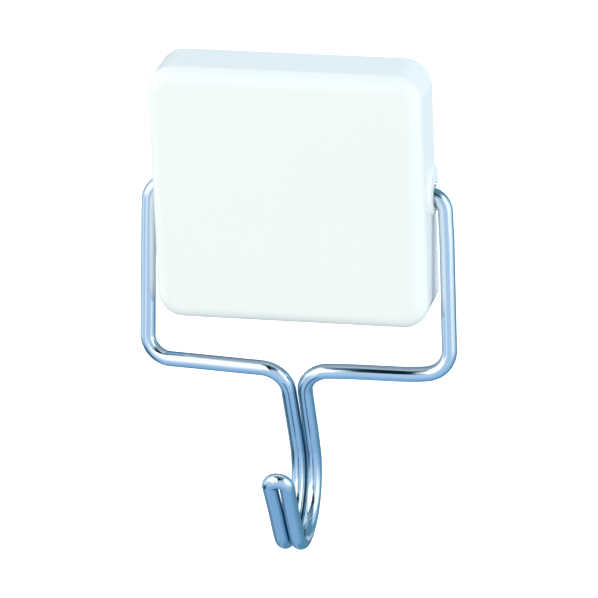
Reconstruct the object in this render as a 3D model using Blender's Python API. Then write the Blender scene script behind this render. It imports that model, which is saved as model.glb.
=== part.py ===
"""Magnetic hook: a moulded cap over a steel plate and two ferrite magnets, with a swinging wire hook.

Frame: metres, +Z up, the front faces -Y and +X is to the right as seen from the front.
The origin is the centre of the rear face, which lies on the wall.
"""
import math

import bmesh
import bpy
from mathutils import Matrix, Vector

# Cap: a soft-cornered square shell, open at the rear
CAP_WIDTH = 0.0500
CAP_HEIGHT = 0.0483
CAP_DEPTH = 0.0118
CAP_CORNER = 0.0048
CAP_FILLET = 0.0028
CAP_RIM_CHAMFER = 0.0003
SIDE_WALL = 0.0016
FRONT_WALL = 0.0018

# Clearances between pieces
SEAT_GAP = 0.0003
BORE_CLEARANCE = 0.00015
MOUTH_CLEARANCE = 0.0002

# Anti-slip sheet: it stands proud of the cap's rim, so that it alone touches the wall
SHEET_THICKNESS = 0.0008
SHEET_PROUD = 0.0004

# Magnets: two ferrite blocks side by side, poles opposed, as wide as the room between the bearings
MAGNET_SIDE_MARGIN = 0.0051
MAGNET_HEIGHT = 0.0340
MAGNET_THICKNESS = 0.0050
MAGNET_SPACING = 0.0006
MAGNET_CHAMFER = 0.0004

# Steel plate that joins the two poles behind the front face
PLATE_THICKNESS = 0.0020
PLATE_MARGIN_X = 0.0009
PLATE_MARGIN_Z = 0.0010
PLATE_CORNER = 0.0015

# Rear frame: a ring with a skirt that holds the magnets and clamps the plate
FRAME_THICKNESS = 0.0017
SKIRT_WALL = 0.0010
SKIRT_CORNER = 0.0015
WINDOW_CORNER = 0.0005

# Pivot: two pins of the wire turn in bores through the side walls
PIVOT_HEIGHT = -0.0009
PIVOT_SETBACK = 0.0028
BOSS_RADIUS = 0.0047
BOSS_RISE = 0.0009
BOSS_PROUD = 0.0005
BOSS_ROUND = 0.0006
BEARING_WALL = 0.0011
BEARING_LENGTH = 0.0022
TONGUE_RECESS = 0.0001
TONGUE_STEP = 0.0001

# Screws that hold the rear frame, one in each corner
SCREW_INSET = 0.0026
SCREW_RADIUS = 0.0010
SCREW_LENGTH = 0.0066
SCREW_HEAD_RADIUS = 0.0019
SCREW_HEAD_HEIGHT = 0.0010
SCREW_SINK = 0.00015
SCREW_POINT = 0.0012
SCREW_POINT_RADIUS = 0.00025
SCREW_SLOT_WIDTH = 0.0006
SCREW_SLOT_LENGTH = 0.0022
SCREW_SLOT_DEPTH = 0.0006
PILOT_END_GAP = 0.0006
SCREW_BOSS_WALL = 0.0010

# Ribs inside the cap
RIB_THICKNESS = 0.0012
RIB_SPACING_X = 0.0120
RIB_SPACING_Z = 0.0110
NEST_WALL = 0.0010
NEST_DEPTH = 0.0010

# Wire hook, laid out in its own frame: x to the right, v forward and w down from the pivot's axis
WIRE_DIAMETER = 0.0028
PIN_PROJECTION = 0.0003
ARM_STANDOFF = 0.0023
ARM_SPREAD = 0.0008
ARM_LENGTH = 0.0329
TOP_BEND = 0.0033
LOWER_BEND = 0.0044
STEM_BEND = 0.0046
BAR_FORWARD = 0.0029
BAR_DROP = 0.0002
STEM_GAP = 0.0002
STEM_LENGTH = 0.0182
STEM_LEAN = math.radians(26.0)
HOOK_GAP = 0.00006
HOOK_RADIUS = 0.0108
HOOK_TURN = math.radians(105.0)
LIP_RADIUS = 0.0053
LIP_TURN = math.radians(66.0)
LIP_LENGTH = 0.0137
TIP_GAP = 0.0004
REST_SWING = math.radians(8.8)

# Facets, and how far guide solids reach into or past what they join or cut
CORNER_STEPS = 8
FILLET_STEPS = 6
BEND_STEPS = 8
HOOK_STEPS = 12
TIP_STEPS = 6
BORE_SIDES = 32
SCREW_SIDES = 16
WIRE_SIDES = 12
CRISP_ANGLE = math.radians(30.0)
OVERLAP = 0.0005

# Levels along Y that follow from the sizes above
CAP_REAR = -SHEET_PROUD
CAP_FRONT = CAP_REAR - CAP_DEPTH
CAVITY_FRONT = CAP_FRONT + FRONT_WALL
SHEET_FRONT = -SHEET_THICKNESS
FRAME_REAR = SHEET_FRONT - SEAT_GAP
FRAME_FRONT = FRAME_REAR - FRAME_THICKNESS
MAGNET_REAR = SHEET_FRONT - SEAT_GAP
MAGNET_FRONT = MAGNET_REAR - MAGNET_THICKNESS
PLATE_REAR = MAGNET_FRONT - SEAT_GAP
PLATE_FRONT = PLATE_REAR - PLATE_THICKNESS
RIB_REAR = PLATE_FRONT - SEAT_GAP
PIVOT_Y = CAP_REAR - PIVOT_SETBACK

# Spans that follow from the sizes above
CAP_HALF_X = CAP_WIDTH / 2
CAP_HALF_Z = CAP_HEIGHT / 2
CAVITY_HALF_X = CAP_HALF_X - SIDE_WALL
CAVITY_HALF_Z = CAP_HALF_Z - SIDE_WALL
CAVITY_CORNER = CAP_CORNER - SIDE_WALL
INSERT_HALF_X = CAVITY_HALF_X - SEAT_GAP
INSERT_HALF_Z = CAVITY_HALF_Z - SEAT_GAP
INSERT_CORNER = CAVITY_CORNER - SEAT_GAP
MAGNET_INNER_X = MAGNET_SPACING / 2
MAGNET_OUTER_X = CAVITY_HALF_X - MAGNET_SIDE_MARGIN
WINDOW_HALF_X = MAGNET_OUTER_X + SEAT_GAP
WINDOW_HALF_Z = MAGNET_HEIGHT / 2 + SEAT_GAP
PLATE_HALF_X = MAGNET_OUTER_X + PLATE_MARGIN_X
PLATE_HALF_Z = MAGNET_HEIGHT / 2 + PLATE_MARGIN_Z
NEST_HALF_X = PLATE_HALF_X + SEAT_GAP
NEST_HALF_Z = PLATE_HALF_Z + SEAT_GAP
WIRE_RADIUS = WIRE_DIAMETER / 2
STEM_HALF_X = (WIRE_DIAMETER + STEM_GAP) / 2
HOOK_HALF_X = (WIRE_DIAMETER + HOOK_GAP) / 2
TIP_HALF_X = (WIRE_DIAMETER + TIP_GAP) / 2
BORE_RADIUS = WIRE_RADIUS + BORE_CLEARANCE
BOSS_FACE = CAP_HALF_X + BOSS_PROUD
ARM_OFFSET = CAP_HALF_X + ARM_STANDOFF
BEARING_START = CAVITY_HALF_X - BEARING_LENGTH
BEARING_HALF_Z = BORE_RADIUS + BEARING_WALL
PIN_END = BEARING_START - PIN_PROJECTION
SCREW_X = CAVITY_HALF_X - SCREW_INSET
SCREW_Z = CAVITY_HALF_Z - SCREW_INSET
SCREW_HOLE = SCREW_RADIUS + SEAT_GAP
SCREW_TOP = FRAME_REAR - SCREW_SINK
SIDES = (("left", -1), ("right", 1))


def clear_scene() -> None:
    """Removes every object of the scene."""
    for item in list(bpy.data.objects):
        bpy.data.objects.remove(item, do_unlink=True)


def material(name: str, colour: tuple, roughness: float, metallic: float = 0.0):
    """Returns a plain Principled material."""
    result = bpy.data.materials.new(name)
    result.use_nodes = True
    shader = result.node_tree.nodes["Principled BSDF"]
    shader.inputs["Base Color"].default_value = (*colour, 1.0)
    shader.inputs["Roughness"].default_value = roughness
    shader.inputs["Metallic"].default_value = metallic
    result.diffuse_color = (*colour, 1.0)
    return result


def add_object(name: str, bm, finish=None):
    """Turns a bmesh into an object with outward faces, shaded smooth but for its crisp edges."""
    bmesh.ops.recalc_face_normals(bm, faces=bm.faces)
    mesh = bpy.data.meshes.new(name)
    bm.to_mesh(mesh)
    bm.free()
    mesh.shade_smooth()
    mesh.set_sharp_from_angle(angle=CRISP_ANGLE)
    if finish:
        mesh.materials.append(finish)
    result = bpy.data.objects.new(name, mesh)
    bpy.context.scene.collection.objects.link(result)
    return result


def combine(target, tool, operation: str) -> None:
    """Joins a guide solid to an object, or cuts it out, and hides the guide."""
    modifier = target.modifiers.new(tool.name, "BOOLEAN")
    modifier.operation = operation
    modifier.solver = "EXACT"
    modifier.object = tool
    tool.hide_render = True
    tool.display_type = "WIRE"


def settle(item) -> None:
    """Applies an object's joins and cuts, removes their guides and finds its crisp edges again."""
    guides = [modifier.object for modifier in item.modifiers]
    depsgraph = bpy.context.evaluated_depsgraph_get()
    mesh = bpy.data.meshes.new_from_object(item.evaluated_get(depsgraph))
    item.modifiers.clear()
    item.data = mesh
    mesh.set_sharp_from_angle(angle=CRISP_ANGLE)
    for guide in guides:
        bpy.data.objects.remove(guide, do_unlink=True)


def rounded_outline(half_x: float, half_z: float, radius: float) -> list:
    """Returns the points (x, z) of a rectangle with round corners, anticlockwise from the right."""
    if radius <= 0:
        return [(half_x, -half_z), (half_x, half_z), (-half_x, half_z), (-half_x, -half_z)]
    points = []
    for quarter, (sx, sz) in enumerate(((1, 1), (-1, 1), (-1, -1), (1, -1))):
        for step in range(CORNER_STEPS + 1):
            angle = math.pi / 2 * (quarter + step / CORNER_STEPS)
            x = sx * (half_x - radius) + radius * math.cos(angle)
            z = sz * (half_z - radius) + radius * math.sin(angle)
            points.append((x, z))
    return points


def add_loop(bm, outline: list, y: float) -> list:
    """Adds one loop of vertices at a level along Y."""
    return [bm.verts.new((x, y, z)) for x, z in outline]


def bridge(bm, first: list, second: list) -> None:
    """Joins two loops of as many vertices with a band of faces."""
    count = len(first)
    for i in range(count):
        j = (i + 1) % count
        bm.faces.new((first[i], first[j], second[j], second[i]))


def loft(bm, loops: list) -> None:
    """Joins loops in order into one closed skin with a flat face at each end."""
    bm.faces.new(loops[0])
    for first, second in zip(loops, loops[1:]):
        bridge(bm, first, second)
    bm.faces.new(reversed(loops[-1]))


def prism(outline: list, front: float, rear: float):
    """Returns a bmesh of an outline extruded along Y."""
    bm = bmesh.new()
    loft(bm, [add_loop(bm, outline, front), add_loop(bm, outline, rear)])
    return bm


def ring_prism(outer: list, inner: list, front: float, rear: float):
    """Returns a bmesh of the band between two outlines, extruded along Y."""
    bm = bmesh.new()
    corners = ((outer, front), (outer, rear), (inner, rear), (inner, front))
    rings = [add_loop(bm, outline, level) for outline, level in corners]
    for i, ring in enumerate(rings):
        bridge(bm, ring, rings[(i + 1) % len(rings)])
    return bm


def box(x_range: tuple, y_range: tuple, z_range: tuple):
    """Returns a bmesh of a box."""
    bm = bmesh.new()
    size = [high - low for low, high in (x_range, y_range, z_range)]
    centre = [(high + low) / 2 for low, high in (x_range, y_range, z_range)]
    matrix = Matrix.Translation(centre) @ Matrix.Diagonal((*size, 1.0))
    bmesh.ops.create_cube(bm, size=1.0, matrix=matrix)
    return bm


def turned(profile: list, sides: int):
    """Returns a bmesh turned about X from (x, radius) points, closed with a flat or a point at each end."""
    bm = bmesh.new()
    rings = []
    for x, radius in profile:
        ring = []
        for i in range(sides):
            angle = 2 * math.pi * (i + 0.5) / sides
            ring.append(bm.verts.new((x, radius * math.cos(angle), radius * math.sin(angle))))
        rings.append(ring)
    loft(bm, rings)
    return bm


def bore_profile() -> list:
    """Returns the (x, radius) profile that the turning pin and its bend need, from inside to outside."""
    bend_start = ARM_OFFSET - TOP_BEND
    reach = BOSS_FACE + OVERLAP - bend_start
    inner_bend = TOP_BEND - WIRE_RADIUS
    mouth = BOSS_FACE - bend_start
    sweep = TOP_BEND - math.sqrt(max(inner_bend ** 2 - mouth ** 2, 0.0))
    mouth_radius = sweep + MOUTH_CLEARANCE
    slope = (mouth_radius - BORE_RADIUS) / mouth
    return [(PIN_END - OVERLAP, BORE_RADIUS), (bend_start, BORE_RADIUS),
            (bend_start + reach, BORE_RADIUS + slope * reach)]


def place_on_pivot(item, side: int) -> None:
    """Puts a solid turned about X on the pivot's axis, mirrored for the left side."""
    item.location = (0.0, PIVOT_Y, PIVOT_HEIGHT)
    if side < 0:
        item.rotation_euler = (0.0, 0.0, math.pi)


def cap_outline(inset: float) -> list:
    """Returns the cap's outline, drawn in by a distance."""
    return rounded_outline(CAP_HALF_X - inset, CAP_HALF_Z - inset, CAP_CORNER - inset)


def add_shell(finish):
    """Makes the cap's plain shell: outer skin with a rounded front edge, rim and pocket."""
    bm = bmesh.new()
    pocket = rounded_outline(CAVITY_HALF_X, CAVITY_HALF_Z, CAVITY_CORNER)
    loops = [add_loop(bm, pocket, CAVITY_FRONT), add_loop(bm, pocket, CAP_REAR)]
    loops.append(add_loop(bm, cap_outline(CAP_RIM_CHAMFER), CAP_REAR))
    loops.append(add_loop(bm, cap_outline(0.0), CAP_REAR - CAP_RIM_CHAMFER))
    for step in range(FILLET_STEPS + 1):
        angle = math.pi / 2 * step / FILLET_STEPS
        outline = cap_outline(CAP_FILLET * (1 - math.cos(angle)))
        loops.append(add_loop(bm, outline, CAP_FRONT + CAP_FILLET * (1 - math.sin(angle))))
    loft(bm, loops)
    return add_object("front_cap", bm, finish)


def side_boss_profile() -> list:
    """Returns the (x, radius) profile of the raised boss round a pivot, with its soft rim."""
    profile = [(CAP_HALF_X - OVERLAP, BOSS_RADIUS)]
    for step in range(FILLET_STEPS + 1):
        angle = math.pi / 2 * step / FILLET_STEPS
        x = CAP_HALF_X + BOSS_PROUD * math.sin(angle)
        profile.append((x, BOSS_RADIUS - BOSS_ROUND * (1 - math.cos(angle))))
    return profile


def add_cap(finish):
    """Makes the front cap with its bosses, ribs, bearings and holes."""
    cap = add_shell(finish)
    embedded = CAVITY_FRONT - OVERLAP
    for name, side in SIDES:
        bm = turned(side_boss_profile(), BORE_SIDES)
        place = Matrix.Translation((0.0, PIVOT_Y, PIVOT_HEIGHT + BOSS_RISE)) @ Matrix.Scale(side, 4, (1, 0, 0))
        bm.transform(place)
        everything = bm.verts[:] + bm.edges[:] + bm.faces[:]
        rim = (0, CAP_REAR - CAP_RIM_CHAMFER, 0)
        trim = bmesh.ops.bisect_plane(bm, geom=everything, clear_outer=True, plane_co=rim, plane_no=(0, 1, 0))
        edges = [item for item in trim["geom_cut"] if isinstance(item, bmesh.types.BMEdge)]
        bmesh.ops.contextual_create(bm, geom=edges)
        combine(cap, add_object(f"guide_boss_{name}", bm), "UNION")
        x_range = sorted((side * BEARING_START, side * (CAVITY_HALF_X + OVERLAP)))
        z_range = (PIVOT_HEIGHT - BEARING_HALF_Z, PIVOT_HEIGHT + BEARING_HALF_Z)
        bearing = box(x_range, (embedded, PIVOT_Y - SEAT_GAP / 2), z_range)
        combine(cap, add_object(f"guide_bearing_{name}", bearing), "UNION")

    nest_outer = rounded_outline(NEST_HALF_X + NEST_WALL, NEST_HALF_Z + NEST_WALL, 0)
    nest_inner = rounded_outline(NEST_HALF_X, NEST_HALF_Z, 0)
    nest = ring_prism(nest_outer, nest_inner, embedded, RIB_REAR + NEST_DEPTH)
    combine(cap, add_object("guide_nest", nest), "UNION")
    half = RIB_THICKNESS / 2
    reach_x, reach_z = NEST_HALF_X + NEST_WALL / 2, NEST_HALF_Z + NEST_WALL / 2
    for column in (-1, 0, 1):
        x = column * RIB_SPACING_X
        rib = box((x - half, x + half), (embedded, RIB_REAR), (-reach_z, reach_z))
        combine(cap, add_object(f"guide_rib_upright_{column + 2}", rib), "UNION")
    for row in (-1, 1):
        z = row * RIB_SPACING_Z
        rib = box((-reach_x, reach_x), (embedded, RIB_REAR), (z - half, z + half))
        combine(cap, add_object(f"guide_rib_level_{(row + 3) // 2}", rib), "UNION")

    post_radius = SCREW_HOLE + SCREW_BOSS_WALL
    for number, (x, z) in enumerate(screw_places(), start=1):
        post = turned([(FRAME_FRONT - SEAT_GAP, post_radius), (embedded, post_radius)], SCREW_SIDES)
        post.transform(along_y(x, z))
        combine(cap, add_object(f"guide_post_{number}", post), "UNION")
    pilot_end = SCREW_TOP - SCREW_LENGTH - PILOT_END_GAP
    for number, (x, z) in enumerate(screw_places(), start=1):
        pilot = turned([(FRAME_FRONT + OVERLAP, SCREW_HOLE), (pilot_end, SCREW_HOLE)], SCREW_SIDES)
        pilot.transform(along_y(x, z))
        combine(cap, add_object(f"guide_pilot_{number}", pilot), "DIFFERENCE")

    for name, side in SIDES:
        bore = add_object(f"guide_cap_bore_{name}", turned(bore_profile(), BORE_SIDES))
        place_on_pivot(bore, side)
        combine(cap, bore, "DIFFERENCE")
        x_range = sorted((side * (BEARING_START - OVERLAP), side * (BOSS_FACE + OVERLAP)))
        z_range = (PIVOT_HEIGHT - BORE_RADIUS, PIVOT_HEIGHT + BORE_RADIUS)
        slot = box(x_range, (PIVOT_Y, CAP_REAR + OVERLAP), z_range)
        combine(cap, add_object(f"guide_slot_{name}", slot), "DIFFERENCE")
    settle(cap)
    return cap


def screw_places() -> list:
    """Returns the (x, z) places of the four corner screws."""
    return [(sx * SCREW_X, sz * SCREW_Z) for sx, sz in ((-1, 1), (1, 1), (-1, -1), (1, -1))]


def along_y(x: float, z: float):
    """Returns the matrix that turns a solid made about X so that it lies along Y at (x, z)."""
    return Matrix.Translation((x, 0.0, z)) @ Matrix.Rotation(math.pi / 2, 4, "Z")


def add_frame(finish):
    """Makes the rear frame: ring, skirt, saddles behind the pins and tongues in the slots."""
    outer = rounded_outline(INSERT_HALF_X, INSERT_HALF_Z, INSERT_CORNER)
    window = rounded_outline(WINDOW_HALF_X, WINDOW_HALF_Z, WINDOW_CORNER)
    frame = add_object("rear_frame", ring_prism(outer, window, FRAME_FRONT, FRAME_REAR), finish)
    skirt_outer = rounded_outline(WINDOW_HALF_X + SKIRT_WALL, WINDOW_HALF_Z + SKIRT_WALL, SKIRT_CORNER)
    skirt = ring_prism(skirt_outer, window, PLATE_REAR + SEAT_GAP, FRAME_FRONT + OVERLAP)
    combine(frame, add_object("guide_skirt", skirt), "UNION")
    for name, side in SIDES:
        x_range = sorted((side * BEARING_START, side * INSERT_HALF_X))
        z_range = (PIVOT_HEIGHT - BEARING_HALF_Z, PIVOT_HEIGHT + BEARING_HALF_Z)
        saddle = box(x_range, (PIVOT_Y + SEAT_GAP / 2, FRAME_REAR - OVERLAP), z_range)
        combine(frame, add_object(f"guide_saddle_{name}", saddle), "UNION")
        half = BORE_RADIUS - SEAT_GAP
        x_range = sorted((side * (INSERT_HALF_X - OVERLAP), side * (BOSS_FACE - TONGUE_RECESS)))
        tongue = box(x_range, (PIVOT_Y + SEAT_GAP / 2, FRAME_REAR - TONGUE_STEP),
                     (PIVOT_HEIGHT - half, PIVOT_HEIGHT + half))
        combine(frame, add_object(f"guide_tongue_{name}", tongue), "UNION")
        bore = add_object(f"guide_frame_bore_{name}", turned(bore_profile(), BORE_SIDES))
        place_on_pivot(bore, side)
        combine(frame, bore, "DIFFERENCE")
    sink_depth = SCREW_HEAD_HEIGHT + SCREW_SINK
    sink_radius = SCREW_HEAD_RADIUS + SEAT_GAP
    profile = [(FRAME_REAR + OVERLAP, sink_radius), (FRAME_REAR - SCREW_SINK, sink_radius),
               (FRAME_REAR - sink_depth, SCREW_HOLE), (FRAME_FRONT - OVERLAP, SCREW_HOLE)]
    for number, (x, z) in enumerate(screw_places(), start=1):
        hole = turned(profile, SCREW_SIDES)
        hole.transform(along_y(x, z))
        combine(frame, add_object(f"guide_sink_{number}", hole), "DIFFERENCE")
    settle(frame)
    return frame


def add_plate(finish):
    """Makes the steel plate that seats on the cap's ribs."""
    outline = rounded_outline(PLATE_HALF_X, PLATE_HALF_Z, PLATE_CORNER)
    return add_object("steel_plate", prism(outline, PLATE_FRONT, PLATE_REAR), finish)


def add_magnets(finish) -> list:
    """Makes the two magnets, side by side on the plate."""
    magnets = []
    for name, side in SIDES:
        x_range = sorted((side * MAGNET_INNER_X, side * MAGNET_OUTER_X))
        block = box(x_range, (MAGNET_FRONT, MAGNET_REAR), (-MAGNET_HEIGHT / 2, MAGNET_HEIGHT / 2))
        magnet = add_object(f"magnet_{name}", block, finish)
        bevel = magnet.modifiers.new("edges", "BEVEL")
        bevel.width = MAGNET_CHAMFER
        bevel.segments = 1
        magnets.append(magnet)
    return magnets


def add_sheet(finish):
    """Makes the anti-slip sheet, whose rear face lies on the wall."""
    outline = rounded_outline(INSERT_HALF_X, INSERT_HALF_Z, INSERT_CORNER)
    return add_object("anti_slip_sheet", prism(outline, SHEET_FRONT, 0.0), finish)


def add_screws(finish) -> list:
    """Makes the four countersunk screws with a cross recess."""
    screws = []
    for number, (x, z) in enumerate(screw_places(), start=1):
        end = SCREW_TOP - SCREW_LENGTH
        body = turned([(SCREW_TOP, SCREW_HEAD_RADIUS), (SCREW_TOP - SCREW_HEAD_HEIGHT, SCREW_RADIUS),
                       (end + SCREW_POINT, SCREW_RADIUS), (end, SCREW_POINT_RADIUS)], SCREW_SIDES)
        body.transform(along_y(x, z))
        screw = add_object(f"frame_screw_{number}", body, finish)
        long_half, short_half = SCREW_SLOT_LENGTH / 2, SCREW_SLOT_WIDTH / 2
        for arm, (half_x, half_z) in enumerate(((long_half, short_half), (short_half, long_half)), start=1):
            recess = box((x - half_x, x + half_x), (SCREW_TOP - SCREW_SLOT_DEPTH, SCREW_TOP + OVERLAP),
                         (z - half_z, z + half_z))
            combine(screw, add_object(f"guide_recess_{number}_{arm}", recess), "DIFFERENCE")
        settle(screw)
        screws.append(screw)
    return screws


def round_corner(before: Vector, corner: Vector, after: Vector, radius: float) -> list:
    """Returns the points of a round bend between two straight runs that meet at a corner."""
    inward = (before - corner).normalized()
    outward = (after - corner).normalized()
    half_angle = inward.angle(outward) / 2
    middle = (inward + outward).normalized()
    centre = corner + middle * (radius / math.sin(half_angle))
    start = corner + inward * (radius / math.tan(half_angle))
    axis = inward.cross(outward).normalized()
    step = (math.pi - 2 * half_angle) / BEND_STEPS
    return [centre + Matrix.Rotation(-step * i, 3, axis) @ (start - centre) for i in range(BEND_STEPS + 1)]


def wire_half() -> list:
    """Returns the right half of the wire's centre line, from the pin's end to the middle of the tip.

    The points are (x, y, z) about the pivot's axis, with the arms straight down.
    """
    lean = Vector((0.0, math.sin(STEM_LEAN), -math.cos(STEM_LEAN)))
    pin = Vector((PIN_END, 0.0, 0.0))
    top = Vector((ARM_OFFSET, 0.0, 0.0))
    lower = Vector((ARM_OFFSET + ARM_SPREAD, 0.0, -ARM_LENGTH))
    inner = Vector((STEM_HALF_X, -BAR_FORWARD, -ARM_LENGTH - BAR_DROP))
    stem_end = inner + lean * STEM_LENGTH
    stem_end.x = HOOK_HALF_X
    points = [pin]
    points += round_corner(pin, top, lower, TOP_BEND)
    points += round_corner(top, lower, inner, LOWER_BEND)
    points += round_corner(lower, inner, stem_end, STEM_BEND)
    points.append(stem_end)
    heading = lean
    for radius, turn, steps in ((HOOK_RADIUS, HOOK_TURN, HOOK_STEPS), (LIP_RADIUS, LIP_TURN, BEND_STEPS)):
        forward = Matrix.Rotation(-math.pi / 2, 3, "X") @ heading
        centre = points[-1] + forward * radius
        spoke = points[-1] - centre
        points += [centre + Matrix.Rotation(-turn * i / steps, 3, "X") @ spoke for i in range(1, steps + 1)]
        heading = Matrix.Rotation(-turn, 3, "X") @ heading
    tip = points[-1] + heading * LIP_LENGTH
    for i in range(TIP_STEPS + 1):
        angle = math.pi / 2 * i / TIP_STEPS
        point = tip + heading * (TIP_HALF_X * math.sin(angle))
        point.x = TIP_HALF_X * math.cos(angle)
        points.append(point)
    return points


def sweep(points: list, radius: float, sides: int):
    """Returns a bmesh of a round tube along points, with flat ends."""
    bm = bmesh.new()
    tangents = []
    for i, point in enumerate(points):
        before = points[max(i - 1, 0)]
        after = points[min(i + 1, len(points) - 1)]
        tangents.append(((point - before).normalized() + (after - point).normalized()).normalized())
    normal = Vector((0.0, 1.0, 0.0))
    loops = []
    for i, (point, tangent) in enumerate(zip(points, tangents)):
        if i:
            normal = tangents[i - 1].rotation_difference(tangent) @ normal
        normal = (normal - tangent * normal.dot(tangent)).normalized()
        other = tangent.cross(normal)
        loop = []
        for side in range(sides):
            angle = 2 * math.pi * side / sides
            loop.append(bm.verts.new(point + radius * (math.cos(angle) * normal + math.sin(angle) * other)))
        loops.append(loop)
    loft(bm, loops)
    return bm


def add_wire(finish):
    """Makes the wire hook about the pivot's axis and swings it to its pose at rest."""
    right = wire_half()
    left = [Vector((-point.x, point.y, point.z)) for point in right]
    wire = add_object("wire_hook", sweep(left[:-1] + right[::-1], WIRE_RADIUS, WIRE_SIDES), finish)
    wire.location = (0.0, PIVOT_Y, PIVOT_HEIGHT)
    wire.rotation_euler = (-REST_SWING, 0.0, 0.0)
    return wire


def main() -> None:
    """Builds every piece."""
    clear_scene()
    white_plastic = material("white_plastic", (0.86, 0.89, 0.90), 0.32)
    frame_plastic = material("frame_plastic", (0.80, 0.82, 0.82), 0.45)
    zinc_steel = material("zinc_steel", (0.62, 0.64, 0.66), 0.35, 1.0)
    ferrite = material("ferrite", (0.045, 0.045, 0.048), 0.55)
    rubber = material("rubber", (0.10, 0.10, 0.11), 0.80)
    screw_steel = material("screw_steel", (0.55, 0.56, 0.58), 0.30, 1.0)
    chrome = material("chrome", (0.80, 0.84, 0.88), 0.06, 1.0)
    add_cap(white_plastic)
    add_frame(frame_plastic)
    add_plate(zinc_steel)
    add_magnets(ferrite)
    add_sheet(rubber)
    add_screws(screw_steel)
    add_wire(chrome)


main()
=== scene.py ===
"""Magnetic hook: a white cap with magnets behind it, and a chromed wire hook that swings in its sides.

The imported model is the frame: metres, +Z up, the front faces -Y, and the rear lies on the wall at Y = 0.
The cap and the wire are made finer here and stand for their solids. The other solids keep their shape.
"""
import logging
import math
from dataclasses import dataclass, field
from enum import Enum

import bmesh
import bpy
from mathutils import Matrix, Vector


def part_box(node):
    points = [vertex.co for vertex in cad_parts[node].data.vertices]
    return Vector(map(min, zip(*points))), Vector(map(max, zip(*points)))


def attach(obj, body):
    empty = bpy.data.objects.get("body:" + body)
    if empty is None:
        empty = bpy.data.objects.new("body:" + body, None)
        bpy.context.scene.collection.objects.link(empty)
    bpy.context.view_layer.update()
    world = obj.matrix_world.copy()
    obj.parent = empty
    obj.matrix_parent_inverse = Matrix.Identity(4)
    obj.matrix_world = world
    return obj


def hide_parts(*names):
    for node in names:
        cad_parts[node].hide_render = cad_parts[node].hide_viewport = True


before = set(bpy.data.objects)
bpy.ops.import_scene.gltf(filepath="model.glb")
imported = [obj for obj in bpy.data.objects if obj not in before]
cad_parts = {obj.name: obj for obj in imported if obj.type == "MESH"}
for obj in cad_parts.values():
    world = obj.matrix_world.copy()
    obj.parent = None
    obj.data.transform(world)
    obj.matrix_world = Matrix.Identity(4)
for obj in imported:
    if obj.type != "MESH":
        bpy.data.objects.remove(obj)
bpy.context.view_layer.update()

LOG = logging.getLogger("magnetic_hook")

Triple = tuple[float, float, float]
Colour = Triple
Point2 = tuple[float, float]
Edges = tuple[float, float, float, float]

WHITE: Colour = (1.0, 1.0, 1.0)
# Where the middle of the pins' axis lies, in metres.
PIVOT = Vector((0.0, -0.0032, -0.0009))
# The angle in degrees above which an edge stays crisp, and one that keeps every edge soft.
CRISP, ALL_SOFT = 35.0, 180.0
# How far a cutting tool runs past the wall that it cuts, in metres.
OVERRUN = 0.0005
# How far a point may lie off a side wall and still count as on it, in metres.
ON_WALL = 1e-7
# The sockets of a Mix node that take and give colours.
MIX_FACTOR, MIX_FIRST, MIX_SECOND, MIX_RESULT = 0, 6, 7, 2
# Edges of a panel, in degrees, that lie past the seam behind the object, or past straight down or up,
# so that the panel has no edge on that side.
FROM_SEAM, TO_SEAM = (-182.0, -181.0), (181.0, 182.0)
FROM_BOTTOM, TO_TOP = (-92.0, -91.0), (91.0, 92.0)


class Body(Enum):
    """The bodies that the new pieces ride on."""

    HOUSING = "housing"
    HOOK = "hook"


class Slot(Enum):
    """Material slot names for the new pieces, which nothing here uses."""

    CAP = "white_plastic"
    WIRE = "chromed_wire"


class Signal:
    """An output socket that takes part in arithmetic: each operator adds one Math node."""

    def __init__(self, graph: "Graph", socket: bpy.types.NodeSocket) -> None:
        """Wraps an output socket of a graph."""
        self.graph = graph
        self.socket = socket

    def __add__(self, other: "Signal | float") -> "Signal":
        """Returns the sum."""
        return self.graph.math("ADD", self, other)

    def __radd__(self, other: float) -> "Signal":
        """Returns the sum with a number on the left."""
        return self.graph.math("ADD", other, self)

    def __sub__(self, other: "Signal | float") -> "Signal":
        """Returns the difference."""
        return self.graph.math("SUBTRACT", self, other)

    def __rsub__(self, other: float) -> "Signal":
        """Returns a number less this value."""
        return self.graph.math("SUBTRACT", other, self)

    def __mul__(self, other: "Signal | float") -> "Signal":
        """Returns the product."""
        return self.graph.math("MULTIPLY", self, other)

    def ramp(self, low: float, high: float) -> "Signal":
        """Returns a smooth step from 0 at low to 1 at high."""
        settings = {"interpolation_type": "SMOOTHSTEP"}
        return self.graph.node("ShaderNodeMapRange", settings, {0: self, 1: low, 2: high, 3: 0.0, 4: 1.0})

    def beside(self, output: str) -> "Signal":
        """Returns another output of the same node."""
        return Signal(self.graph, self.socket.node.outputs[output])


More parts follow.
